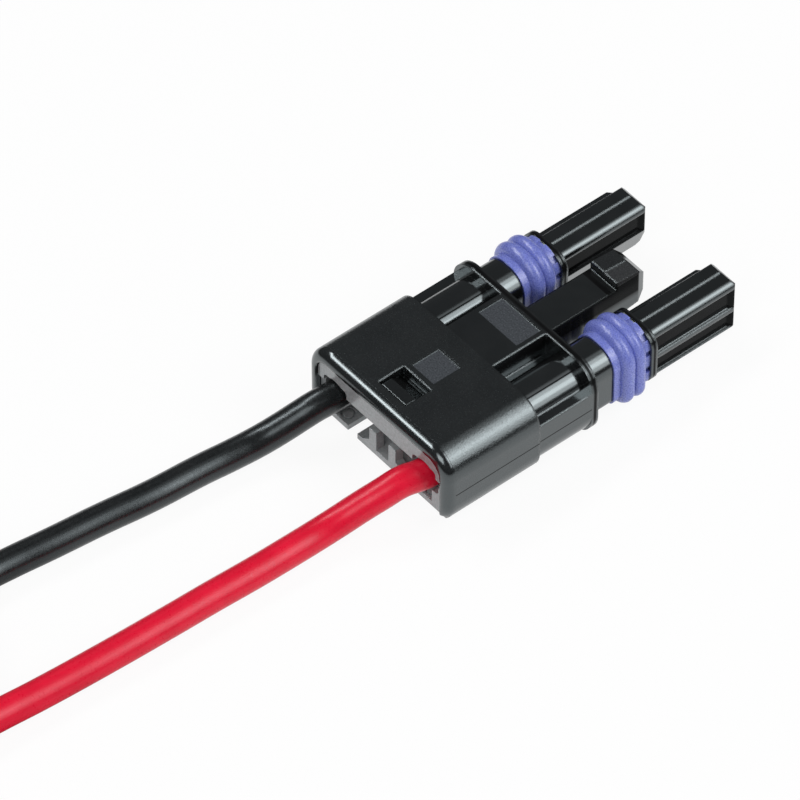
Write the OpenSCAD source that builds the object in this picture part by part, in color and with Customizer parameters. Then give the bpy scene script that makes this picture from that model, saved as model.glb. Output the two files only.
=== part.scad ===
// Two-way sealed wire connector, plug half, with its two leads. Sizes are in millimetres.
// X is the width, +Y the mating direction and +Z up. The origin is under the middle of the connector.

/* [Rear shell] */
// Width of the rear shell
body_w = 14.2; // [13.8:0.1:15]
// Height of the rear shell
body_h = 6.4; // [6.2:0.1:7]
// Corner radius of the shell's section
body_r = 2.0; // [1.6:0.1:2.4]
// Length of the rear shell
shell_len = 7.8; // [7.6:0.1:9]
// Rounding of the shell's rear edge
rim_r = 0.67; // [0.4:0.01:0.7]
// Wall of the rear shell round its mouth
wall = 0.8; // [0.75:0.05:1]
// Depth of the mouth that takes the retainer
mouth_depth = 3.8; // [3.6:0.1:4]
// Width of the snap window in the top
window_w = 2.74; // [2:0.02:3.6]
// Length of the snap window
window_len = 2.12; // [2:0.02:2.3]
// Distance of the snap window from the rear edge
window_y = 1.26; // [1:0.02:1.3]
// Depth of the two rough fields in the top
field_depth = 0.06; // [0.02:0.01:0.15]

/* [Middle section] */
// Length of the middle section
middle_len = 4.5; // [3:0.1:6]
// Step of the middle section in from each side of the rear shell
middle_step = 0.1; // [0.05:0.05:0.3]
// Rise of the middle section's underside
middle_lift = 0.3; // [0.1:0.05:0.6]
// Depth of the corner recesses below the top
recess_depth = 1.85; // [1.5:0.05:2.1]
// Width of the central block between the recesses
block_w = 4.6; // [4.2:0.1:5]
// Thickness of the front flange
flange_t = 0.55; // [0.4:0.05:1]

/* [Fingers] */
// Distance of each finger's axis from the shell's side
finger_inset = 2.6; // [2.5:0.05:2.7]
// Width of the neck's section
neck_w = 3.5; // [3.3:0.1:3.8]
// Height of the neck's section
neck_h = 4.6; // [4.4:0.1:4.8]
// Rise of the neck's middle above the finger's axis
neck_rise = 0.15; // [0:0.05:0.2]
// Radius of the neck's two upper corners
neck_r = 1.5; // [1:0.1:1.6]
// Radius of the neck's two lower corners
neck_low_r = 0.7; // [0.5:0.1:1]
// Length of the neck in front of the flange
neck_len = 1.9; // [1.2:0.05:3]
// Depth of the ring seal's seat below the neck
seat_step = 0.3; // [0.2:0.05:0.35]
// Length of the ring seal's seat
seat_len = 3.1; // [3:0.1:3.6]
// Width of the collar in front of the ring seal
collar_w = 4.0; // [3.6:0.1:4.4]
// Height of the collar
collar_h = 4.6; // [4.4:0.1:5.2]
// Corner radius of the collar
collar_r = 1.15; // [0.6:0.05:1.4]
// Thickness of the collar
collar_t = 0.5; // [0.3:0.05:0.8]
// Width of the nose without its keying rib
nose_w = 2.4; // [2.3:0.05:2.5]
// Height of the nose above its axis
nose_top = 1.7; // [1.6:0.05:1.9]
// Depth of the nose below its axis
nose_low = 2.55; // [2.3:0.05:2.6]
// Rounding of the nose's top at its lower side
nose_r = 0.5; // [0.3:0.05:0.6]
// Rounding of the nose's top at its raised side
nose_edge_r = 0.25; // [0.1:0.05:0.3]
// Length of the nose
nose_len = 7.5; // [6:0.1:8]
// Step of the nose's top down from its raised side
nose_step = 0.07; // [0.03:0.01:0.12]
// Depth of the flutes along the nose's sides
flute_depth = 0.25; // [0.15:0.05:0.3]
// Distance by which the flutes stop before the tip
flute_short = 0.15; // [0.15:0.05:0.6]
// Length over which the flutes run out towards the tip
flute_run = 0.4; // [0.3:0.1:1.5]
// Draw-in of the nose's inner side below its flute
nose_taper = 0.7; // [0.3:0.05:0.75]
// Chamfer of the nose's tip at its top and bottom
nose_chamfer = 0.3; // [0.1:0.05:0.4]
// Chamfer of the nose's tip at its sides
side_chamfer = 0.15; // [0.1:0.05:0.2]
// Standing height of the keying rib on one side of each nose
key_rib_t = 0.38; // [0.2:0.02:0.5]
// Distance by which the keying ribs stop before the tip
rib_short = 0.75; // [0.5:0.05:2]

/* [Centre arm] */
// Width of the arm
arm_w = 2.66; // [2.2:0.02:3]
// Length of the arm in front of the flange
arm_len = 8.9; // [7:0.05:10]
// Height of the arm without its head
arm_h = 2.3; // [1.8:0.1:2.6]
// Extra depth of the arm at its root
arm_root = 1.2; // [0.4:0.1:1.6]
// Drop of the arm's top below the shell's top
arm_drop = 1.5; // [1.2:0.1:1.8]
// Rise of the head above the arm
head_rise = 0.7; // [0.3:0.05:1]
// Length of the head
head_len = 2.5; // [1.5:0.05:3]
// Step between the two halves of the head's top
head_step = 0.05; // [0.02:0.01:0.1]
// Chamfer of the arm's tip at its top and bottom
arm_chamfer = 0.6; // [0.3:0.05:0.7]
// Narrowing of the arm's tip on each side
arm_taper = 0.23; // [0.1:0.01:0.4]

/* [Rear retainer] */
// Height of the retainer's bottom plate above the shell's underside
plate_t = 1.0; // [0.9:0.05:1.2]
// Rise of the bottom plate's underside above the shell's underside
plate_lift = 0.5; // [0.3:0.05:0.6]
// Step of the face strip in from the shell's rear edge
face_step = 0.2; // [0.1:0.05:0.4]
// Step of the bottom plate in from the face strip
plate_step = 0.25; // [0.1:0.05:0.5]
// Height of the face strip across the top of the wire end
strip_h = 1.8; // [1.6:0.1:2.1]
// Distance of the opening's ends, under the face strip, from the shell's sides
under_edge = 2.1; // [1.9:0.1:2.4]
// Depth of the opening under the face strip
under_depth = 2.6; // [2:0.1:2.8]
// Width of each slot in the bottom plate
slot_w = 0.95; // [0.6:0.05:1.2]
// Distance of each slot's inner side from the middle
slot_x = 2.55; // [2.2:0.05:2.9]
// Diameter of each wire hole
hole_d = 2.6; // [2.5:0.05:2.9]
// Width of each of the two upright bars
bar_w = 0.7; // [0.4:0.05:1]
// Height of the upright bars above the plate
bar_h = 1.65; // [1:0.05:1.8]
// Clearance between the retainer and the housing
fit = 0.05; // [0.03:0.01:0.08]

/* [Seals and contacts] */
// Height of the ring seal's ribs above its seat
seal_rise = 0.9; // [0.8:0.05:1.1]
// Thickness of the ring seal between its ribs
seal_base = 0.38; // [0.3:0.02:0.5]
// Length of the wire seals
wire_seal_len = 3.2; // [2.6:0.1:3.4]
// Diameter of the wire seals' bores in the housing
wire_seal_d = 3.7; // [3.4:0.05:3.9]
// Bore of the contacts, for the mating pin
pin_bore_d = 0.84; // [0.76:0.02:0.9]
// Outer diameter of the contacts in the noses
contact_d = 1.2; // [1.1:0.02:1.24]
// Outer diameter of the contacts' crimp barrels
crimp_d = 2.1; // [2:0.02:2.14]

/* [Leads] */
// Diameter of the leads over their insulation
wire_d = 2.1; // [2:0.02:2.1]
// Diameter of the stranded conductor
conductor_d = 1.2; // [1:0.02:1.2]

/* [Hidden] */
$fn = 64;
eps = 0.01;
far = 30;

plastic_black = "#1e1f20";
retainer_grey = "#8f9495";
silicone_blue = "#6a6fc0";
contact_tin = "#c9c7c0";
copper = "#b87750";
lead_black = "#202224";
lead_red = "#dd2440";
tie_white = "#e4e4e0";

pitch = body_w - 2 * finger_inset;
overall_len = shell_len + middle_len + flange_t + neck_len + seat_len + collar_t + nose_len;
axis_z = body_h / 2;
red_side = 1;
black_side = -1;

// Places along Y, from the wire end to the tips
rear_y = -overall_len / 2;
mouth_y = rear_y + mouth_depth;
shell_y = rear_y + shell_len;
flange_y = shell_y + middle_len;
front_y = flange_y + flange_t;
seat_y = front_y + neck_len;
collar_y = seat_y + seat_len;
nose_y = collar_y + collar_t;
tip_y = nose_y + nose_len;
wire_seal_end_y = mouth_y + wire_seal_len;
arm_tip_y = front_y + arm_len;

// Contact and its cavity: the crimp barrel in the wide part, the socket in the narrow part
cavity_clear = 0.05;
crimp_cavity_d = crimp_d + 2 * cavity_clear;
socket_cavity_d = contact_d + 2 * cavity_clear;
mouth_lip = 0.6;
lead_in_d = contact_d;
crimp_bore_d = conductor_d + 2 * cavity_clear;
contact_front_y = tip_y - mouth_lip - cavity_clear;
shoulder_y = seat_y - 1.1;
wire_end_y = wire_seal_end_y + 0.2;
crimp_y = wire_end_y + 0.1;
conductor_len = 4.5;
pin_depth = 6.6;

// Section of the ring seal's seat, which the seal follows
seat_w = neck_w - 2 * seat_step;
seat_h = neck_h - 2 * seat_step;
seat_r = neck_r - seat_step;
seat_low_r = neck_low_r - seat_step;
neck_z = axis_z + neck_rise;

// Flutes and keying ribs of the noses, as heights from the nose's axis
outer_flutes = [[-0.67, 1.05], [0.15 - nose_low, -1.06]];
inner_flute = [-0.6, 1.05];
step_x = -0.12;
red_key = [0.25, 1.3];
black_key = [0.6, 1.4];

// Rough fields in the top: one beside the window, one across the central block
patch_w = 2.14;
patch_len = 2.22;
patch_gap = 0.48;
label_inset = 0.4;
label_len = 2.02;
label_gap = 0.13;

// Two leads, laid on the surface by hand-chosen points from the retainer's holes to the coil
lie_z = wire_d / 2;
red_route = [
  [4.45, rear_y, 3.32], [4.1, -14.2, 3.28], [3.75, -15.6, 2.8], [3.3, -17, 2.15], [2.9, -18.5, 1.5],
  [2.68, -20, 1.15], [2.6, -22, lie_z], [2.55, -25, lie_z], [2.4, -28.6, lie_z], [2.3, -32, lie_z],
  [2.1, -37, lie_z], [1.8, -42, lie_z], [1.6, -45, 1.15], [1.55, -47.3, 1.3]
];
black_route = [
  [-4.5, rear_y, 3.18], [-4.75, -14.2, 2.95], [-5.05, -15.2, 2.5], [-5.4, -16.4, 1.95], [-5.85, -18, 1.35],
  [-6.2, -20, 1.1], [-6.5, -22.3, lie_z], [-6.8, -26.2, lie_z], [-7.3, -30, lie_z], [-7.7, -33.7, lie_z],
  [-8.1, -37, lie_z], [-8.2, -38.8, 1.1], [-7.9, -41.2, 1.3]
];
tube_sides = 8;

// Coil of both leads: two tracks side by side and two layers high, held by a tie
coil_centre = [-10, -54.5];
coil_mid_r = 10.5;
coil_tracks = 2;
coil_layers = 2;
coil_r = wire_d / 2;
coil_w = coil_tracks * wire_d;
coil_h = coil_layers * wire_d;
tie_t = 0.3;
tie_w = 2.5;
tie_clear = 0.1;
tie_turn = -45;

// Rounded rectangle about the origin, with true arcs
module round_rect(w, h, r) {
  square([w - 2 * r, h], center = true);
  square([w, h - 2 * r], center = true);
  for (x = [-1, 1], y = [-1, 1])
    translate([x * (w / 2 - r), y * (h / 2 - r)])
      circle(r);
}

// Runs an XZ section along Y between two places
module run(from, to) {
  translate([0, to, 0])
    rotate([90, 0, 0])
      linear_extrude(to - from)
        children();
}

// Runs a YZ section along X, centred on the middle plane
module across(w) {
  translate([-w / 2, 0, 0])
    rotate([90, 0, 90])
      linear_extrude(w)
        children();
}

// A round bar along +Y
module bar_y(x, z, d, from, to) {
  translate([x, from, z])
    rotate([-90, 0, 0])
      cylinder(d = d, h = to - from);
}

// A turned piece: its profile has the radius in X and the place along the axis in Y
module turned_y(side, from) {
  translate([side * pitch / 2, from, axis_z])
    rotate([-90, 0, 0])
      rotate_extrude()
        children();
}

// Ring along a rounded rectangle: four straight runs and four quarter turns of one profile, which
// has the radius from the corner's centre in X and the place along the part in Y
module ring(w, h, r) {
  half_w = w / 2 - r;
  half_h = h / 2 - r;
  for (turn = [0 : 90 : 270]) {
    upright = turn % 180 == 0;
    out = upright ? half_w : half_h;
    along = upright ? half_h : half_w;
    rotate([0, turn, 0])
      translate([out, 0, -along])
        linear_extrude(2 * along)
          children();
    rotate([0, turn, 0])
      translate([out, 0, -along])
        rotate([-90, 0, 0])
          rotate_extrude(angle = 90)
            children();
  }
}

// Shell, middle section and flange sections
module body_section() {
  translate([0, axis_z])
    round_rect(body_w, body_h, body_r);
}

module middle_section(lift) {
  translate([0, (body_h + lift) / 2])
    round_rect(body_w - 2 * middle_step, body_h - lift, body_r);
}

module finger_section(side, w, h, r) {
  translate([side * pitch / 2, axis_z])
    round_rect(w, h, r);
}

// Section of the neck or of the seal's seat, with squarer corners below
module neck_section(side, step) {
  w = neck_w - 2 * step;
  h = neck_h - 2 * step;
  translate([side * pitch / 2, neck_z]) {
    round_rect(w, h, neck_r - step);
    translate([0, -h / 4])
      round_rect(w, h / 2, neck_low_r - step);
  }
}

// Mouth of the shell: open below, so that the retainer's plate closes it
module mouth_section(clear) {
  mouth_w = body_w - 2 * wall - 2 * clear;
  mouth_top = body_h - wall - clear;
  corner_r = body_r - wall;
  translate([-mouth_w / 2, plate_t - fit])
    square([mouth_w, mouth_top - corner_r - plate_t + fit]);
  translate([0, mouth_top - 2 * corner_r])
    round_rect(mouth_w, 4 * corner_r, corner_r);
}

// Corner recess above its floor, on one side of the central block
module recess_cut(side) {
  floor_z = body_h - recess_depth;
  outer = body_w / 2 - block_w / 2 + eps;
  translate([side > 0 ? block_w / 2 : -block_w / 2 - outer, shell_y, floor_z])
    cube([outer, middle_len, recess_depth + eps]);
}

// What the rounding takes off the shell's rear edge
module rim_cut() {
  translate([0, rear_y, axis_z])
    ring(body_w, body_h, body_r)
      translate([body_r - rim_r, 0])
        difference() {
          translate([0, -eps])
            square([rim_r + eps, rim_r + eps]);
          translate([0, rim_r])
            circle(rim_r);
        }
}

// Rough fields and the snap window in the top
module top_cuts() {
  patch_y = rear_y + window_y + window_len + patch_gap;
  label_y = flange_y - label_gap - label_len;
  label_w = block_w - 2 * label_inset;
  translate([-window_w / 2, rear_y + window_y, body_h - wall - eps])
    cube([window_w, window_len, wall + 2 * eps]);
  translate([-patch_w / 2, patch_y, body_h - field_depth])
    cube([patch_w, patch_len, field_depth + eps]);
  translate([-label_w / 2, label_y, body_h - field_depth])
    cube([label_w, label_len, field_depth + eps]);
}

// Nose section: two levels on top, and drawn in below the flute on the inner side
module nose_section(side) {
  half = nose_w / 2;
  height = nose_top + nose_low;
  mid_z = (nose_top - nose_low) / 2;
  low_r = 0.1;
  difference() {
    union() {
      translate([0, mid_z - nose_step / 2])
        round_rect(nose_w, height - nose_step, nose_r);
      translate([0, mid_z - height / 4])
        round_rect(nose_w, height / 2, low_r);
      intersection() {
        translate([0, mid_z])
          round_rect(nose_w, height, nose_edge_r);
        translate([-nose_w, -height])
          square([nose_w + step_x, 2 * height]);
      }
    }
    polygon([
      [-side * half, inner_flute[0]], [-side * nose_w, inner_flute[0]], [-side * nose_w, -nose_low - eps],
      [side * (nose_taper - half), -nose_low - eps]
    ]);
  }
}

// One flute along a side of the nose, between two heights, which runs out towards the tip
module flute(side, span) {
  outside = side * (nose_w / 2 + eps);
  inside = side * (nose_w / 2 - flute_depth);
  end_y = tip_y - flute_short;
  translate([0, 0, span[0]])
    linear_extrude(span[1] - span[0])
      polygon([[outside, nose_y], [inside, nose_y], [inside, end_y - flute_run], [outside, end_y]]);
}

// Keying rib on the -X side of a nose, with a slanted front end
module key_rib(span) {
  reach = nose_w / 2 + key_rib_t;
  difference() {
    run(nose_y - eps, tip_y - rib_short)
      translate([-reach, span[0]])
        square([reach - socket_cavity_d / 2, span[1] - span[0]]);
    translate([-reach, tip_y - rib_short - key_rib_t, -far / 2])
      rotate([0, 0, 45])
        translate([-far, 0, 0])
          cube(2 * far);
  }
}

// Four slanted cuts that chamfer the nose's tip
module tip_chamfers() {
  for (turn = [0 : 90 : 270]) {
    upright = turn % 180 == 0;
    end_z = turn == 0 ? nose_top : nose_low;
    reach = upright ? end_z - nose_chamfer : nose_w / 2 - side_chamfer;
    translate([0, tip_y, 0])
      rotate([0, turn, 0])
        translate([-far, 0, reach])
          rotate([-45, 0, 0])
            translate([0, -far, 0])
              cube(2 * far);
  }
}

// Nose with its flutes, keying rib and chamfered tip
module nose(side) {
  translate([side * pitch / 2, 0, axis_z])
    difference() {
      union() {
        difference() {
          run(nose_y - eps, tip_y)
            nose_section(side);
          flute(-side, inner_flute);
          for (span = outer_flutes)
            flute(side, span);
        }
        key_rib(side == red_side ? red_key : black_key);
      }
      tip_chamfers();
    }
}

// Finger: neck, seal seat, collar and nose
module finger(side) {
  run(shell_y - eps, seat_y)
    neck_section(side, 0);
  run(seat_y - eps, collar_y + eps)
    neck_section(side, seat_step);
  run(collar_y, nose_y)
    finger_section(side, collar_w, collar_h, collar_r);
  nose(side);
}

// Cavity through a finger: wire seal bore, crimp bore, socket bore and lead-in
module finger_cavity(side) {
  x = side * pitch / 2;
  bar_y(x, axis_z, wire_seal_d, mouth_y - eps, wire_seal_end_y);
  bar_y(x, axis_z, crimp_cavity_d, wire_seal_end_y - eps, shoulder_y + cavity_clear);
  bar_y(x, axis_z, socket_cavity_d, shoulder_y, tip_y - mouth_lip);
  bar_y(x, axis_z, lead_in_d, tip_y - mouth_lip - eps, tip_y + eps);
}

// Centre arm: the common part of its side view and its plan, less a step on its head
module arm() {
  root_y = front_y - flange_t;
  top_z = body_h - arm_drop;
  low_z = top_z - arm_h;
  head_z = top_z + head_rise;
  head_y = arm_tip_y - head_len;
  head_fall = 0.15;
  slope = head_fall / (head_len - arm_chamfer);
  half = arm_w / 2;
  c = arm_chamfer;
  difference() {
    intersection() {
      across(arm_w)
        polygon([
          [root_y, low_z - arm_root], [arm_tip_y - c, low_z], [arm_tip_y, low_z + c],
          [arm_tip_y, head_z - head_fall - c], [arm_tip_y - c, head_z - head_fall], [head_y, head_z],
          [head_y, top_z], [root_y, top_z]
        ]);
      translate([0, 0, low_z - arm_root - eps])
        linear_extrude(head_z - low_z + arm_root + 2 * eps)
          polygon([
            [-half, root_y], [half, root_y], [half, arm_tip_y - c], [half - arm_taper, arm_tip_y],
            [arm_taper - half, arm_tip_y], [-half, arm_tip_y - c]
          ]);
    }
    translate([half, 0, head_z - head_step])
      across(arm_w)
        polygon([
          [head_y - eps, 0], [arm_tip_y + eps, -slope * head_len], [arm_tip_y + eps, far], [head_y - eps, far]
        ]);
  }
}

// Shell, middle section, flange, fingers and arm in one moulding
module housing() {
  color(plastic_black)
    difference() {
      union() {
        difference() {
          run(rear_y, shell_y)
            body_section();
          rim_cut();
        }
        difference() {
          run(shell_y - eps, flange_y + eps)
            middle_section(middle_lift);
          recess_cut(red_side);
          recess_cut(black_side);
        }
        run(flange_y, front_y)
          middle_section(0);
        finger(red_side);
        finger(black_side);
        arm();
      }
      run(rear_y - eps, mouth_y)
        mouth_section(0);
      translate([-body_w / 2 - eps, rear_y - eps, -eps])
        cube([body_w + 2 * eps, mouth_depth + eps, plate_t + eps]);
      top_cuts();
      finger_cavity(red_side);
      finger_cavity(black_side);
    }
}

// Hole for a lead: round, with a small square lobe at each corner
module wire_hole(side) {
  lobe_w = 2.3;
  lobe_r = 0.3;
  run(rear_y - eps, mouth_y + eps)
    translate([side * pitch / 2, axis_z]) {
      circle(d = hole_d);
      round_rect(lobe_w, lobe_w, lobe_r);
    }
}

// Tooth that snaps into the window in the shell's top
module snap_tooth() {
  tooth_w = window_w - 0.3;
  gap = 0.16;
  crown = 0.8;
  below = 0.2;
  base_z = body_h - wall - fit;
  start_y = rear_y + window_y + gap;
  end_y = rear_y + window_y + window_len - gap;
  across(tooth_w)
    polygon([
      [start_y, base_z - below], [start_y, body_h - below], [start_y + crown, body_h - below],
      [end_y, base_z], [end_y, base_z - below]
    ]);
}

// Shallow round groove in the bottom plate under a lead
module plate_groove(side) {
  outer_d = 1.04;
  inner_d = 0.74;
  depth = 0.15;
  place_x = pitch / 2 - 0.2;
  place_y = rear_y + face_step + plate_step + 0.7;
  translate([side * place_x, place_y, plate_t - fit - depth])
    difference() {
      cylinder(d = outer_d, h = depth + eps);
      translate([0, 0, -eps])
        cylinder(d = inner_d, h = depth + 3 * eps);
    }
}

// Upright bar on the bottom plate, with a low gusset on its outer side
module plate_bar(side) {
  bar_x = 0.97;
  bar_len = 0.65;
  gusset_w = 0.75;
  gusset_h = 0.55;
  start_y = rear_y + face_step + plate_step;
  low_z = plate_t - fit - eps;
  outer_x = side * (bar_x + bar_w / 2);
  translate([side * bar_x - bar_w / 2, start_y, low_z])
    cube([bar_w, bar_len, bar_h + eps]);
  run(start_y, start_y + bar_len)
    polygon([[outer_x, low_z], [outer_x + side * gusset_w, low_z], [outer_x, low_z + gusset_h]]);
}

module rear_retainer() {
  strip_z = body_h - wall - fit - strip_h;
  strip_y = rear_y + face_step;
  face_y = strip_y + plate_step;
  end_y = mouth_y - fit;
  under_half = body_w / 2 - under_edge;
  slot_len = under_depth - 0.2;
  color(retainer_grey)
    difference() {
      union() {
        difference() {
          union() {
            run(face_y, end_y)
              mouth_section(fit);
            run(strip_y, face_y + eps)
              intersection() {
                mouth_section(fit);
                translate([-body_w / 2, strip_z])
                  square([body_w, body_h]);
              }
            run(face_y, end_y)
              intersection() {
                body_section();
                translate([-body_w / 2, plate_lift])
                  square([body_w, plate_t - fit - plate_lift]);
              }
            snap_tooth();
          }
          translate([-under_half, face_y - eps, plate_t - fit])
            cube([2 * under_half, under_depth, strip_z - plate_t + fit]);
        }
        plate_bar(red_side);
        plate_bar(black_side);
      }
      for (side = [red_side, black_side]) {
        wire_hole(side);
        plate_groove(side);
        translate([side > 0 ? slot_x : -slot_x - slot_w, face_y - eps, -eps])
          cube([slot_w, slot_len, plate_t]);
      }
    }
}

// Section of the ring seal: radius from its corner's centre in X, place along the seat in Y
module seal_section(r) {
  lip_len = 0.3;
  lip_rise = 0.42;
  rib_1 = 1.14;
  rib_1_half = 0.56;
  rib_2 = 2.07;
  rib_2_half = 0.47;
  translate([r, 0])
    intersection() {
      square([seal_rise, seat_len]);
      union() {
        square([seal_base, seat_len]);
        square([lip_rise, lip_len]);
        for (rib = [[rib_1, rib_1_half], [rib_2, rib_2_half]]) {
          translate([0, rib[0] - rib[1]])
            square([seal_rise - rib[1], 2 * rib[1]]);
          translate([seal_rise - rib[1], rib[0]])
            circle(rib[1]);
        }
      }
    }
}

// Notches round the seal's front edge
module seal_notches() {
  notch_w = 0.5;
  notch_len = 0.4;
  notch_in = 0.2;
  reach_x = seat_w / 2 + notch_in;
  reach_z = seat_h / 2 + notch_in;
  side_z = 0.75;
  for (end = [-1, 1]) {
    for (z = [-side_z, side_z])
      translate([end > 0 ? reach_x : -reach_x - far, seat_len - notch_len, z - notch_w / 2])
        cube([far, notch_len + eps, notch_w]);
    translate([-notch_w / 2, seat_len - notch_len, end > 0 ? reach_z : -reach_z - far])
      cube([notch_w, notch_len + eps, far]);
  }
  for (x = [-1, 1], z = [-1, 1]) {
    r = z > 0 ? seat_r : seat_low_r;
    translate([x * (seat_w / 2 - r), seat_len - notch_len, z * (seat_h / 2 - r)])
      rotate([0, -45 * x * z, 0])
        translate([x > 0 ? r + notch_in : -r - notch_in - far, 0, -notch_w / 2])
          cube([far, notch_len + eps, notch_w]);
  }
}

// Half of the ring seal, above or below its middle, round the seat's corners of one radius
module seal_half(end, r) {
  intersection() {
    ring(seat_w, seat_h, r)
      seal_section(r);
    translate([-far, -far, end > 0 ? 0 : -2 * far])
      cube(2 * far);
  }
}

// Ring seal on its seat
module ring_seal(side) {
  color(silicone_blue)
    translate([side * pitch / 2, seat_y, neck_z])
      difference() {
        union() {
          seal_half(1, seat_r);
          seal_half(-1, seat_low_r);
        }
        seal_notches();
      }
}

// Wire seal: a sleeve with three round ribs
module wire_seal(side) {
  clear = 0.02;
  rib_r = 0.4;
  inner_r = wire_d / 2 + clear;
  outer_r = wire_seal_d / 2 - clear;
  sleeve_r = outer_r - rib_r / 2;
  rib_step = wire_seal_len / 3;
  color(silicone_blue)
    turned_y(side, mouth_y)
      difference() {
        union() {
          square([sleeve_r, wire_seal_len]);
          for (i = [0 : 2])
            translate([outer_r - rib_r, rib_step * (i + 0.5)])
              circle(rib_r);
        }
        square([2 * inner_r, far], center = true);
      }
}

// Socket contact: a crimp barrel behind and a bored socket in front
module contact(side) {
  crimp_len = shoulder_y - crimp_y;
  total = contact_front_y - crimp_y;
  crimp_depth = conductor_len;
  color(contact_tin)
    turned_y(side, crimp_y)
      difference() {
        union() {
          square([crimp_d / 2, crimp_len]);
          square([contact_d / 2, total]);
        }
        translate([-eps, -eps])
          square([crimp_bore_d / 2 + eps, crimp_depth + eps]);
        translate([-eps, total - pin_depth])
          square([pin_bore_d / 2 + eps, pin_depth + eps]);
      }
}

module conductor(side) {
  color(copper)
    bar_y(side * pitch / 2, axis_z, conductor_d, wire_end_y, wire_end_y + conductor_len);
}

// Tube along a route: a ring of points square to the route at each point
function unit(v) = v / norm(v);
function heading(route, i) =
  unit(route[min(i + 1, len(route) - 1)] - route[max(i - 1, 0)]);
function ring_at(route, i, r) =
  let (ahead = heading(route, i), right = unit(cross(ahead, [0, 0, 1])), up = cross(right, ahead))
  [for (k = [0 : tube_sides - 1])
    let (a = 360 * (k + 0.5) / tube_sides)
    route[i] + r * (cos(a) * right + sin(a) * up)];

module tube(route, d) {
  rings = len(route);
  n = tube_sides;
  points = [for (i = [0 : rings - 1]) each ring_at(route, i, d / 2)];
  sides = [
    for (i = [0 : rings - 2], k = [0 : n - 1])
      let (a = i * n + k, b = i * n + (k + 1) % n)
      each [[a, b, b + n], [a, b + n, a + n]]
  ];
  start = [for (k = [n - 1 : -1 : 0]) k];
  end = [for (k = [0 : n - 1]) (rings - 1) * n + k];
  polyhedron(points, concat([start], sides, [end]));
}

module lead(side, route, shade) {
  x = side * pitch / 2;
  inside = [[x, wire_end_y, axis_z], [x, rear_y + 1.5, axis_z]];
  color(shade)
    tube(concat(inside, route), wire_d);
}

// Coil of both leads and the tie round it
module wire_coil() {
  color(lead_black)
    translate([coil_centre[0], coil_centre[1], tie_t + coil_h / 2])
      rotate_extrude()
        translate([coil_mid_r, 0])
          round_rect(coil_w, coil_h, coil_r);
}

module coil_tie() {
  hole_w = coil_w + 2 * tie_clear;
  hole_h = coil_h + tie_clear;
  color(tie_white)
    translate([coil_centre[0], coil_centre[1], tie_t + hole_h / 2])
      rotate([0, 0, tie_turn])
        translate([coil_mid_r, 0, 0])
          rotate([90, 0, 0])
            linear_extrude(tie_w, center = true)
              difference() {
                round_rect(hole_w + 2 * tie_t, hole_h + 2 * tie_t, coil_r + tie_t);
                round_rect(hole_w, hole_h, coil_r);
              }
}

housing();
rear_retainer();
ring_seal(black_side);  // black_ring_seal
ring_seal(red_side);  // red_ring_seal
wire_seal(black_side);  // black_wire_seal
wire_seal(red_side);  // red_wire_seal
contact(black_side);  // black_contact
contact(red_side);  // red_contact
conductor(black_side);  // black_conductor
conductor(red_side);  // red_conductor
lead(black_side, black_route, lead_black);  // black_wire
lead(red_side, red_route, lead_red);  // red_wire
wire_coil();
coil_tie();
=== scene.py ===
"""Looks of the two-way sealed wire connector: leads, materials, floor, light and camera."""

import math

import bpy
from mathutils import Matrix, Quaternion, Vector


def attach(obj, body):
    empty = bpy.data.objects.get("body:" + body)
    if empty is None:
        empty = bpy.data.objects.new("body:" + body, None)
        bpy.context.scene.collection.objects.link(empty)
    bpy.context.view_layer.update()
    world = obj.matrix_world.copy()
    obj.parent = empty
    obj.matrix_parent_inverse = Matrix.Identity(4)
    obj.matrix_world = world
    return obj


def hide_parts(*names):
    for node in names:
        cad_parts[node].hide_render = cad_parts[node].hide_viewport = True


MM = 0.001

# The photograph's camera, fitted to the connector's edges, in degrees and millimetres
CAMERA_AZIMUTH = 50.377
CAMERA_ELEVATION = 47.862
CAMERA_DISTANCE = 507.8
CAMERA_TARGET = (-1.626, -9.641, 3.0)
CAMERA_LENS = 352.1
SENSOR_WIDTH = 36.0
CLIP_NEAR = 10.0
CLIP_FAR = 20000.0

# Leads: their size and their places inside the plug, in millimetres
LEAD_DIAMETER = 2.1
LEAD_LENGTH = 150.0
LEAD_PITCH = 9.0
AXIS_HEIGHT = 3.2
REAR_Y = -12.925
LEAD_START_Y = -5.725
LEAD_MIDDLE_Y = -9.0
HOLE_RUN = 1.5
LIE = LEAD_DIAMETER / 2

# Fineness of a lead's round section, and the steps between two of its points
ROUND_STEPS = 8
CURVE_STEPS = 6

# Coil that holds the unseen length: two tracks in two layers, which lie on the tie, in millimetres
COIL_CENTRE = (-10.0, -54.5)
COIL_MIDDLE = 10.5
OUTER_TRACK = COIL_MIDDLE + LEAD_DIAMETER / 2
INNER_TRACK = COIL_MIDDLE - LEAD_DIAMETER / 2
TIE_THICKNESS = 0.3
COIL_LIFT = TIE_THICKNESS + LIE
LAYER_RISE = LEAD_DIAMETER

# Turns of the coil, in degrees: the red lead climbs early enough to pass over the black lead's way in
RED_START = 0.0
RED_CLIMB = 205.0
BLACK_START = 45.0
BLACK_CLIMB = 280.0
CLIMB_SPAN = 60.0
COIL_STEP = 15.0

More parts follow.
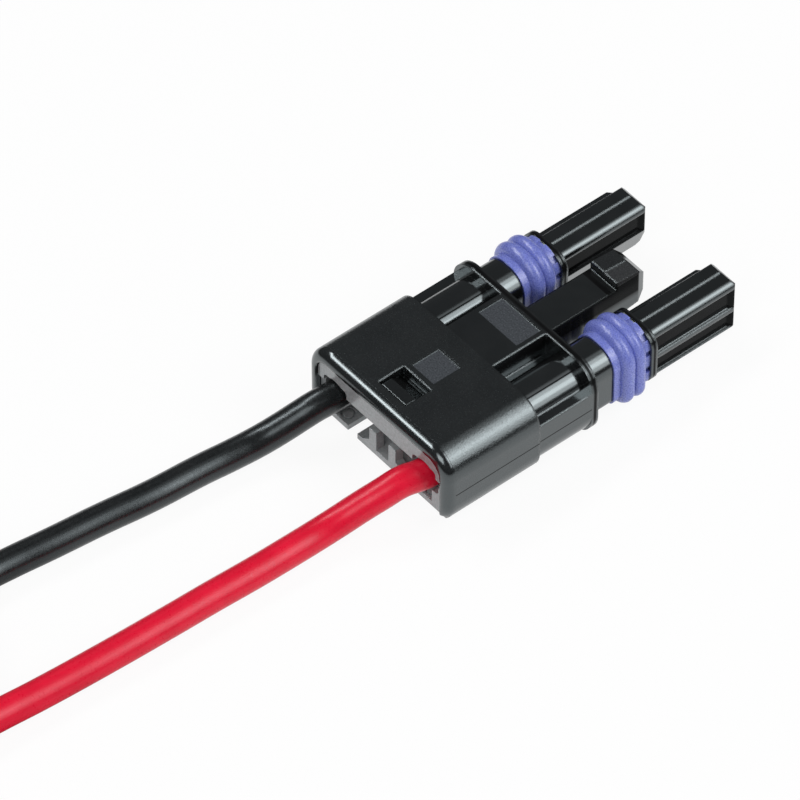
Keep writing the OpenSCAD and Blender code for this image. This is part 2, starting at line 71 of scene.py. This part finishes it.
RED_ROUTE = [
    (4.45, REAR_Y, 3.32), (4.1, -14.2, 3.28), (3.75, -15.6, 2.8), (3.3, -17.0, 2.15), (2.9, -18.5, 1.5),
    (2.68, -20.0, 1.15), (2.6, -22.0, LIE), (2.55, -25.0, LIE), (2.4, -28.6, LIE), (2.3, -32.0, LIE),
    (2.1, -37.0, LIE), (1.8, -42.0, LIE), (1.6, -45.0, 1.15), (1.55, -47.3, 1.3), (1.55, -50.5, COIL_LIFT),
]
BLACK_ROUTE = [
    (-4.5, REAR_Y, 3.18), (-4.75, -14.2, 2.95), (-5.05, -15.2, 2.5), (-5.4, -16.4, 1.95),
    (-5.85, -18.0, 1.35), (-6.2, -20.0, 1.1), (-6.5, -22.3, LIE), (-6.8, -26.2, LIE), (-7.3, -30.0, LIE),
    (-7.7, -33.7, LIE), (-8.1, -37.0, LIE), (-8.2, -38.8, 1.1), (-7.9, -41.2, 1.3), (-6.9, -43.7, COIL_LIFT),
    (-5.3, -45.8, COIL_LIFT),
]

# Fields on the housing's top, each by half its width and its span along Y, in millimetres
REAR_FIELD = (1.07, (-9.065, -6.845))
FRONT_FIELD = (1.9, (-2.775, -0.755))
FIELD_HEIGHT = 6.37
FIELD_DEPTH = 0.1
FIELD_MARGIN = 0.1

# Shell, flange, side seam and painted dark lines on the barrels of the housing, in millimetres
RIM_END_Y = -12.2
SHELL_FRONT_Y = -5.125
FLANGE_Y = -0.625
FLANGE_END_Y = -0.075
FLANGE_LAP = 0.05
INNER_CORNER = 0.4
SIDE_SEAM = 3.05
# Next: where a painted dark line of shade runs along each barrel, and the half width of that line and of the
# side seam
BARREL_LINE = 0.81
DARK_LINE_HALF = 0.045

# Fingers of the housing, in millimetres
FINGER_X = LEAD_PITCH / 2
NOSE_Y = 5.425
NOSE_REACH = 1.4
UPPER_FLUTE = (2.55, 4.25)
LOWER_FLUTE = (0.8, 2.14)
COLLAR_Y = 4.925
COLLAR_REACH = 2.1
RIM_EDGE = 0.14

# Arm of the housing and tooth of the retainer, in millimetres
ARM_HALF = 1.33
ARM_STEP = (5.6, 6.28)
# Above this height the arm's step and sides take painted shade, with their reflection dulled
ARM_SHADE = 3.5
ARM_SKIN = 0.08
PAD_HALF = 1.4
PAD_SPAN = (6.325, 8.225)
PAD_ABOVE = 5.25
TOOTH_ABOVE = 5.45

# Heights and places beyond the whole plug, and how softly one surface goes over into another, in millimetres
ABOVE_ALL = 9.0
AHEAD_OF_ALL = 20.0
EDGE_SOFT = 0.02
RIM_SOFT = 0.06
SHADE_SOFT = 0.25

# The usual range of a noise, and looks that both mouldings share
NOISE_LOW = 0.3
NOISE_HIGH = 0.7
DEEP_BLACK = (0.005, 0.0052, 0.0054)
SOFT_BLACK = (0.008, 0.0083, 0.0086)
COOL_SHEEN = (0.86, 0.97, 1.0, 1.0)
BEVEL_SAMPLES = 6

# Floor: half its width, how far it lies below the plug, and where its reflections fade, in millimetres
FLOOR_HALF = 4000.0
FLOOR_DROP = 0.02
FLOOR_NEAR = 20.0
FLOOR_FAR = 45.0

# The floor's colour, and the share of it that the camera and near reflections see as plain white
FLOOR_WHITE = 0.85
FLOOR_GLOW = 0.92

# Even light from all round
SKY_COLOUR = (0.94, 0.97, 1.0, 1.0)
SKY_STRENGTH = 0.12

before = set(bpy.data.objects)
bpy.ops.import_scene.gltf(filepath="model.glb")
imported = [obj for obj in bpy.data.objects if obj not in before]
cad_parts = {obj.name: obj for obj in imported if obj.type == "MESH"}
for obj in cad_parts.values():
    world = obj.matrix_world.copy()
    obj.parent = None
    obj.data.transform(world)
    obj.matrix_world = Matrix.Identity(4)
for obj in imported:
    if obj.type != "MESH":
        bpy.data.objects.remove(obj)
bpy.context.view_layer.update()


def smooth(t):
    """Eases from 0 to 1."""
    t = min(max(t, 0.0), 1.0)
    return t * t * (3.0 - 2.0 * t)


def path_length(points):
    """Length of a line of points."""
    return sum(math.dist(a, b) for a, b in zip(points, points[1:]))


def coil_points(radius, start_angle, climb_at, length):
    """Clockwise turns from a start angle, which climb to a second layer before they meet their own start."""
    points = []
    sweep = math.degrees(length / radius)
    steps = math.ceil(sweep / COIL_STEP)
    for i in range(steps + 1):
        turned = sweep * i / steps
        angle = math.radians(start_angle - turned)
        points.append((
            COIL_CENTRE[0] + radius * math.cos(angle),
            COIL_CENTRE[1] + radius * math.sin(angle),
            COIL_LIFT + LAYER_RISE * smooth((turned - climb_at) / CLIMB_SPAN),
        ))
    return points


def lead_points(x, route, radius, start_angle, climb_at):
    """Whole line of a lead: inside the plug, over the surface, then round the coil."""
    inside = [(x, y, AXIS_HEIGHT) for y in (LEAD_START_Y, LEAD_MIDDLE_Y, REAR_Y + HOLE_RUN)]
    laid = inside + route
    entry = coil_points(radius, start_angle, climb_at, 1.0)[0]
    spent = path_length(laid + [entry])
    return laid + coil_points(radius, start_angle, climb_at, LEAD_LENGTH - spent)


def make_lead(name, node, material, points):
    """A round lead along a line of points, hung from the root body in place of the CAD lead and coil."""
    curve = bpy.data.curves.new(name, "CURVE")
    curve.dimensions = "3D"
    curve.bevel_depth = LEAD_DIAMETER / 2 * MM
    curve.bevel_resolution = ROUND_STEPS
    curve.resolution_u = CURVE_STEPS
    curve.use_fill_caps = True
    spline = curve.splines.new("BEZIER")
    spline.bezier_points.add(len(points) - 1)
    for knot, place in zip(spline.bezier_points, points):
        knot.co = [v * MM for v in place]
        knot.handle_left_type = "AUTO"
        knot.handle_right_type = "AUTO"
    lead = bpy.data.objects.new(name, curve)
    bpy.context.scene.collection.objects.link(lead)
    curve.materials.append(material)
    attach(lead, "root")
    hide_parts(node, "wire_coil")


class Shader:
    """Short calls for a node material."""

    # Places of the colour sockets on a Mix node
    MIX_FIRST = 6
    MIX_SECOND = 7
    MIX_RESULT = 2

    def __init__(self, name):
        self.material = bpy.data.materials.new(name)
        self.material.use_nodes = True
        self.nodes = self.material.node_tree.nodes
        self.links = self.material.node_tree.links
        self.surface = self.nodes["Principled BSDF"]
        self.place = self.nodes.new("ShaderNodeTexCoord").outputs["Object"]

    def set(self, **values):
        """Sets sockets of the surface that are the same all over it."""
        for socket, value in values.items():
            self.surface.inputs[socket.replace("_", " ")].default_value = value

    def drive(self, socket, value):
        """Lets a socket of the surface follow a value that changes over it."""
        self.links.new(value, self.surface.inputs[socket])

    def noise(self, scale, detail, roughness):
        """Noise by place, with its scale in features per millimetre."""
        node = self.nodes.new("ShaderNodeTexNoise")
        node.inputs["Scale"].default_value = scale / MM
        node.inputs["Detail"].default_value = detail
        node.inputs["Roughness"].default_value = roughness
        self.links.new(self.place, node.inputs["Vector"])
        return node.outputs["Fac"]

    def axis(self, name):
        """One coordinate of the place, in metres."""
        node = self.nodes.new("ShaderNodeSeparateXYZ")
        self.links.new(self.place, node.inputs[0])
        return node.outputs[name]

    def distance(self):
        """How far the place is from the origin, in metres."""
        node = self.nodes.new("ShaderNodeVectorMath")
        node.operation = "LENGTH"
        self.links.new(self.place, node.inputs[0])
        return node.outputs["Value"]

    def math(self, operation, first, second):
        """Works out one value from two."""
        node = self.nodes.new("ShaderNodeMath")
        node.operation = operation
        self.links.new(first, node.inputs[0])
        self.links.new(second, node.inputs[1])
        return node.outputs[0]

    def remap(self, value, low, high, to_low, to_high):
        """Carries a value from one range over to another."""
        node = self.nodes.new("ShaderNodeMapRange")
        self.links.new(value, node.inputs["Value"])
        for socket, number in zip(("From Min", "From Max", "To Min", "To Max"), (low, high, to_low, to_high)):
            node.inputs[socket].default_value = number
        return node.outputs["Result"]

    def between(self, share, first, second):
        """Goes from the first number to the second as the share goes from 0 to 1."""
        return self.remap(share, 0.0, 1.0, first, second)

    def vary(self, noise, low, high):
        """A number that goes from low to high over the usual range of a noise."""
        return self.remap(noise, NOISE_LOW, NOISE_HIGH, low, high)

    def step(self, axis, at, soft=EDGE_SOFT):
        """1 beyond a place along an axis and 0 before it, in millimetres."""
        return self.remap(self.axis(axis), (at - soft) * MM, (at + soft) * MM, 0.0, 1.0)

    def within(self, soft=EDGE_SOFT, **spans):
        """1 inside a box given as spans along X, Y and Z in millimetres, and 0 outside it."""
        inside = None
        for axis, (low, high) in spans.items():
            span = self.math("SUBTRACT", self.step(axis, low, soft), self.step(axis, high, soft))
            inside = span if inside is None else self.math("MULTIPLY", inside, span)
        return inside

    def either(self, *shares):
        """The largest of some shares."""
        whole = shares[0]
        for share in shares[1:]:
            whole = self.math("MAXIMUM", whole, share)
        return whole

    def blend(self, share, first, second):
        """Goes from the first value or colour to the second as the share goes from 0 to 1."""
        node = self.nodes.new("ShaderNodeMix")
        node.data_type = "RGBA"
        self.links.new(share, node.inputs[0])
        self.links.new(first, node.inputs[self.MIX_FIRST])
        self.links.new(second, node.inputs[self.MIX_SECOND])
        return node.outputs[self.MIX_RESULT]

    def ramp(self, value, *stops):
        """Colours along a value, each stop a place and a colour."""
        node = self.nodes.new("ShaderNodeValToRGB")
        self.links.new(value, node.inputs["Fac"])
        points = node.color_ramp.elements
        while len(points) < len(stops):
            points.new(1.0)
        for point, (where, colour) in zip(points, stops):
            point.position = where
            point.color = (*colour, 1.0)
        return node.outputs["Color"]

    def mottle(self, noise, dark, light):
        """A colour that goes from dark to light over the usual range of a noise."""
        return self.ramp(noise, (NOISE_LOW, dark), (NOISE_HIGH, light))

    def round_edges(self, share, elsewhere, there):
        """Rounds the edges in the shading, by a radius in millimetres that differs where a share is 1."""
        node = self.nodes.new("ShaderNodeBevel")
        node.samples = BEVEL_SAMPLES
        self.links.new(self.between(share, elsewhere * MM, there * MM), node.inputs["Radius"])
        self.drive("Normal", node.outputs["Normal"])

    def bump(self, height, strength, depth):
        """Surface relief over what the normal already has, with its depth in millimetres."""
        node = self.nodes.new("ShaderNodeBump")
        node.inputs["Strength"].default_value = strength
        node.inputs["Distance"].default_value = depth * MM
        self.links.new(height, node.inputs["Height"])
        before = self.surface.inputs["Normal"].links
        if before:
            self.links.new(before[0].from_socket, node.inputs["Normal"])
        self.drive("Normal", node.outputs["Normal"])


def around(middle, half):
    """A span that reaches equally far to both sides of its middle."""
    return (middle - half, middle + half)


def field_share(shader, field, margin, heights):
    """1 on a field of the housing's top with a margin round it, and 0 elsewhere."""
    half, (rear, front) = field
    return shader.within(X=around(0.0, half + margin), Y=(rear - margin, front + margin), Z=heights)


def crisp_edges(shader):
    """1 where the housing's edges stay sharp: round its fields and in the corner behind the flange."""
    field_heights = (FIELD_HEIGHT - FIELD_DEPTH, ABOVE_ALL)
    corner_heights = (0.0, FIELD_HEIGHT - INNER_CORNER)
    return shader.either(
        field_share(shader, REAR_FIELD, FIELD_MARGIN, field_heights),
        field_share(shader, FRONT_FIELD, FIELD_MARGIN, field_heights),
        shader.within(Y=(FLANGE_Y - INNER_CORNER, FLANGE_Y + FLANGE_LAP), Z=corner_heights),
    )


def seams_and_painted_shade(shader):
    """1 on the housing's faces that mirror little: the side seam, and painted shade on the barrels' dark
    lines, the flange and collar rims, the flutes, and the step and sides of the arm.
    """
    nose = (NOSE_Y, AHEAD_OF_ALL)
    faces = [
        shader.within(Y=(RIM_END_Y, FLANGE_Y), Z=around(SIDE_SEAM, DARK_LINE_HALF)),
        shader.within(RIM_SOFT, Y=(FLANGE_Y + RIM_EDGE, FLANGE_END_Y - RIM_EDGE)),
        shader.within(X=(FINGER_X, FINGER_X + NOSE_REACH), Y=nose, Z=LOWER_FLUTE),
        shader.within(X=(-FINGER_X - NOSE_REACH, -FINGER_X), Y=nose, Z=LOWER_FLUTE),
        shader.within(X=around(0.0, ARM_HALF), Y=ARM_STEP, Z=(ARM_SHADE, ABOVE_ALL)),
    ]
    for x in (-ARM_HALF, ARM_HALF):
        side = shader.within(X=around(x, ARM_SKIN), Y=(FLANGE_END_Y, PAD_SPAN[1]))
        faces.append(shader.math("MULTIPLY", side, shader.step("Z", ARM_SHADE, SHADE_SOFT)))
    for x in (-FINGER_X, FINGER_X):
        faces += [
            shader.within(X=around(x + BARREL_LINE, DARK_LINE_HALF), Y=(SHELL_FRONT_Y, FLANGE_Y)),
            shader.within(X=around(x, NOSE_REACH), Y=nose, Z=UPPER_FLUTE),
            shader.within(RIM_SOFT, X=around(x, COLLAR_REACH), Y=(COLLAR_Y + RIM_EDGE, NOSE_Y - RIM_EDGE)),
        ]
    return shader.either(*faces)


def moulded_housing(name):
    """Black moulding: a fine grain on the shell, smooth on the fingers, with rough fields, faint seams, and
    painted shade that dulls the reflection on rims, flutes, barrel lines and the arm.
    """
    shader = Shader(name)
    grain = shader.noise(scale=9.0, detail=2.0, roughness=0.6)
    cloud = shader.noise(scale=0.5, detail=2.0, roughness=0.5)

    field_heights = (FIELD_HEIGHT - FIELD_DEPTH, FIELD_HEIGHT)
    rear_field = field_share(shader, REAR_FIELD, 0.0, field_heights)
    front_field = field_share(shader, FRONT_FIELD, 0.0, field_heights)
    field = shader.either(rear_field, front_field)
    high_pad = shader.within(X=(-PAD_HALF, 0.0), Y=PAD_SPAN, Z=(PAD_ABOVE, ABOVE_ALL))
    low_pad = shader.within(X=(0.0, PAD_HALF), Y=PAD_SPAN, Z=(PAD_ABOVE, ABOVE_ALL))
    shell = shader.within(Y=(RIM_END_Y, SHELL_FRONT_Y))
    grained = shader.either(shell, field, high_pad, low_pad)

    body = shader.ramp(cloud, (0.35, DEEP_BLACK), (NOISE_HIGH, SOFT_BLACK))
    speckle = shader.mottle(grain, dark=(0.03, 0.033, 0.038), light=(0.062, 0.067, 0.077))
    dark_speckle = shader.mottle(grain, dark=(0.006, 0.006, 0.0062), light=(0.013, 0.013, 0.0135))
    light_speckle = shader.mottle(grain, dark=(0.018, 0.018, 0.019), light=(0.034, 0.034, 0.035))
    colour = shader.blend(field, body, speckle)
    colour = shader.blend(high_pad, colour, dark_speckle)
    colour = shader.blend(low_pad, colour, light_speckle)
    shader.drive("Base Color", colour)

    shader.set(IOR=1.9, Specular_Tint=COOL_SHEEN)
    # Specular level drops on the side seam, and drops as painted shade on the rims, flutes, barrel lines and
    # arm
    gloss = shader.between(seams_and_painted_shade(shader), 0.5, 0.02)
    shader.drive("Specular IOR Level", gloss)
    smooth_part = shader.vary(grain, 0.11, 0.17)
    grained_part = shader.vary(grain, 0.18, 0.28)
    shader.drive("Roughness", shader.blend(grained, smooth_part, grained_part))
    shader.round_edges(crisp_edges(shader), elsewhere=0.24, there=0.03)
    shader.bump(shader.math("MULTIPLY", grain, grained), strength=0.7, depth=0.014)
    return shader.material


def moulded_retainer(name):
    """Satin moulding, black on its snap tooth and grey elsewhere, the grey partly a painted reflection of the
    bright floor.
    """
    shader = Shader(name)
    grain = shader.noise(scale=6.0, detail=3.0, roughness=0.6)
    tooth = shader.step("Z", TOOTH_ABOVE)
    # Painted reflection: this grey stands partly for the bright floor mirrored in the retainer's faces
    grey = shader.mottle(grain, dark=(0.24, 0.252, 0.257), light=(0.32, 0.334, 0.34))
    black = shader.mottle(grain, dark=DEEP_BLACK, light=SOFT_BLACK)
    shader.drive("Base Color", shader.blend(tooth, grey, black))
    shader.set(IOR=1.8, Specular_Tint=COOL_SHEEN)
    satin = shader.vary(grain, 0.14, 0.22)
    polished = shader.vary(grain, 0.1, 0.14)
    shader.drive("Roughness", shader.blend(tooth, satin, polished))
    shader.round_edges(tooth, elsewhere=0.06, there=0.14)
    shader.bump(grain, strength=0.3, depth=0.01)
    return shader.material


def silicone(name):
    """Soft blue silicone with fine flecks."""
    shader = Shader(name)
    fleck = shader.noise(scale=11.0, detail=3.0, roughness=0.6)
    shader.set(IOR=1.6, Subsurface_Weight=0.3, Subsurface_Scale=0.4 * MM, Subsurface_Radius=(0.5, 0.5, 1.0))
    shader.drive("Base Color", shader.ramp(
        fleck, (NOISE_LOW, (0.125, 0.152, 0.47)), (0.6, (0.178, 0.212, 0.575)), (0.75, (0.33, 0.38, 0.72))))
    shader.drive("Roughness", shader.vary(fleck, 0.2, 0.4))
    shader.bump(fleck, strength=0.2, depth=0.015)
    return shader.material


def insulation(name, dark, light, rough, gloss, tint):
    """Extruded lead insulation with a faint drawn texture."""
    shader = Shader(name)
    cloud = shader.noise(scale=0.6, detail=3.0, roughness=0.5)
    fine = shader.noise(scale=5.0, detail=3.0, roughness=0.6)
    shader.set(Specular_IOR_Level=gloss, Specular_Tint=(*tint, 1.0))
    shader.drive("Base Color", shader.mottle(cloud, dark, light))
    shader.drive("Roughness", shader.vary(fine, rough - 0.05, rough + 0.07))
    shader.bump(fine, strength=0.15, depth=0.01)
    return shader.material


def metal(name, dark, light, rough):
    """Plated or bare metal with small stains."""
    shader = Shader(name)
    stain = shader.noise(scale=2.0, detail=4.0, roughness=0.6)
    shader.set(Metallic=1.0)
    shader.drive("Base Color", shader.mottle(stain, dark, light))
    shader.drive("Roughness", shader.vary(stain, rough - 0.08, rough + 0.08))
    return shader.material


def nylon(name):
    """Smooth pale nylon."""
    shader = Shader(name)
    cloud = shader.noise(scale=1.2, detail=3.0, roughness=0.5)
    shader.set(Subsurface_Weight=0.15, Subsurface_Scale=0.5 * MM)
    shader.drive("Base Color", shader.mottle(cloud, dark=(0.7, 0.7, 0.66), light=(0.8, 0.8, 0.77)))
    shader.drive("Roughness", shader.vary(cloud, 0.35, 0.5))
    return shader.material


def dress(node, material):
    """Gives a CAD node its material."""
    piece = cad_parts[node]
    piece.data.materials.clear()
    piece.data.materials.append(material)


def white_floor():
    """Plain white floor that stays white to the camera and to near reflections, and keeps a soft shadow."""
    half = FLOOR_HALF * MM
    mesh = bpy.data.meshes.new("floor")
    corners = [(-half, -half, 0.0), (half, -half, 0.0), (half, half, 0.0), (-half, half, 0.0)]
    mesh.from_pydata(corners, [], [(0, 1, 2, 3)])
    floor = bpy.data.objects.new("floor", mesh)
    floor.location.z = -FLOOR_DROP * MM
    bpy.context.scene.collection.objects.link(floor)
    shader = Shader("floor_white")
    ray = shader.nodes.new("ShaderNodeLightPath").outputs
    far = shader.remap(shader.distance(), FLOOR_NEAR * MM, FLOOR_FAR * MM, 0.0, 1.0)
    faded = shader.math("MULTIPLY", ray["Is Glossy Ray"], far)
    mirrored = shader.math("SUBTRACT", ray["Is Glossy Ray"], faded)
    seen = shader.either(ray["Is Camera Ray"], ray["Is Transmission Ray"], mirrored)
    shaded_white = FLOOR_WHITE * (1.0 - FLOOR_GLOW)
    shader.set(Roughness=1.0, Specular_IOR_Level=0.0, Emission_Color=(1.0, 1.0, 1.0, 1.0))
    shader.drive("Base Color", shader.between(shader.either(seen, faded), FLOOR_WHITE, shaded_white))
    shader.drive("Emission Strength", shader.between(seen, 0.0, FLOOR_GLOW))
    mesh.materials.append(shader.material)


def outward(azimuth, elevation):
    """Direction from the connector to a lamp or the camera, by its angles in degrees."""
    a = math.radians(azimuth)
    e = math.radians(elevation)
    return Vector((math.sin(a) * math.cos(e), -math.cos(a) * math.cos(e), math.sin(e)))


def place_facing(name, data, location, back, roll=0.0):
    """Puts a lamp or camera at a place with its back turned to a direction, rolled about the way it faces."""
    holder = bpy.data.objects.new(name, data)
    holder.location = location
    holder.rotation_mode = "QUATERNION"
    turn = Quaternion((0.0, 0.0, 1.0), math.radians(roll))
    holder.rotation_quaternion = (-back).to_track_quat("-Z", "Y") @ turn
    bpy.context.scene.collection.objects.link(holder)
    return holder


def softbox(name, azimuth, elevation, distance, size, power, roll=0.0):
    """A soft rectangular lamp that faces the connector, with its distance and size in metres."""
    lamp = bpy.data.lights.new(name, "AREA")
    lamp.shape = "RECTANGLE"
    lamp.size, lamp.size_y = size
    lamp.energy = power
    back = outward(azimuth, elevation)
    place_facing(name, lamp, back * distance, back, roll)


def world_light():
    """Even cool light from all round."""
    world = bpy.data.worlds.new("studio")
    world.use_nodes = True
    sky = world.node_tree.nodes["Background"]
    sky.inputs["Color"].default_value = SKY_COLOUR
    sky.inputs["Strength"].default_value = SKY_STRENGTH
    bpy.context.scene.world = world


def photo_camera():
    """Camera at the photograph's angle, distance and framing."""
    camera = bpy.data.cameras.new("photo_camera")
    camera.sensor_width = SENSOR_WIDTH
    camera.lens = CAMERA_LENS
    camera.clip_start = CLIP_NEAR * MM
    camera.clip_end = CLIP_FAR * MM
    back = outward(CAMERA_AZIMUTH, CAMERA_ELEVATION)
    location = (Vector(CAMERA_TARGET) + back * CAMERA_DISTANCE) * MM
    bpy.context.scene.camera = place_facing("photo_camera", camera, location, back)


# Materials of the carried-over nodes
seal_blue = silicone("seal_blue")
tin = metal("tin", dark=(0.55, 0.53, 0.49), light=(0.72, 0.70, 0.66), rough=0.3)
copper = metal("copper", dark=(0.60, 0.28, 0.15), light=(0.78, 0.42, 0.25), rough=0.35)
dress("housing", moulded_housing("housing_black"))
dress("rear_retainer", moulded_retainer("retainer_grey"))
dress("coil_tie", nylon("tie_nylon"))
for side in ("black", "red"):
    dress(side + "_ring_seal", seal_blue)
    dress(side + "_wire_seal", seal_blue)
    dress(side + "_contact", tin)
    dress(side + "_conductor", copper)

# Leads
lead_black = insulation(
    "lead_black",
    dark=(0.005, 0.0053, 0.0056),
    light=(0.009, 0.0093, 0.0096),
    rough=0.27,
    gloss=0.6,
    tint=(0.85, 0.96, 1.0),
)
lead_red = insulation(
    "lead_red",
    dark=(0.65, 0.005, 0.028),
    light=(0.73, 0.008, 0.036),
    rough=0.3,
    gloss=0.35,
    tint=(1.0, 0.9, 0.95),
)
red_line = lead_points(FINGER_X, RED_ROUTE, OUTER_TRACK, RED_START, RED_CLIMB)
black_line = lead_points(-FINGER_X, BLACK_ROUTE, INNER_TRACK, BLACK_START, BLACK_CLIMB)
make_lead("red_lead", "red_wire", lead_red, red_line)
make_lead("black_lead", "black_wire", lead_black, black_line)

# Floor, lamps and camera
white_floor()
softbox("key", azimuth=124.2, elevation=40.5, distance=0.5, size=(0.22, 0.18), power=0.42, roll=-23.0)
softbox("key_halo", azimuth=123.6, elevation=39.3, distance=0.5, size=(0.22, 0.52), power=1.15, roll=-22.5)
softbox("upper_key", azimuth=157.8, elevation=62.5, distance=0.5, size=(0.18, 0.29), power=0.12, roll=-65.0)
softbox("front", azimuth=25.0, elevation=42.0, distance=0.7, size=(0.4, 0.4), power=1.8)
softbox("crest", azimuth=-68.0, elevation=52.0, distance=0.6, size=(0.46, 0.1), power=1.5)
world_light()
photo_camera()
bpy.context.scene.view_settings.view_transform = "Standard"
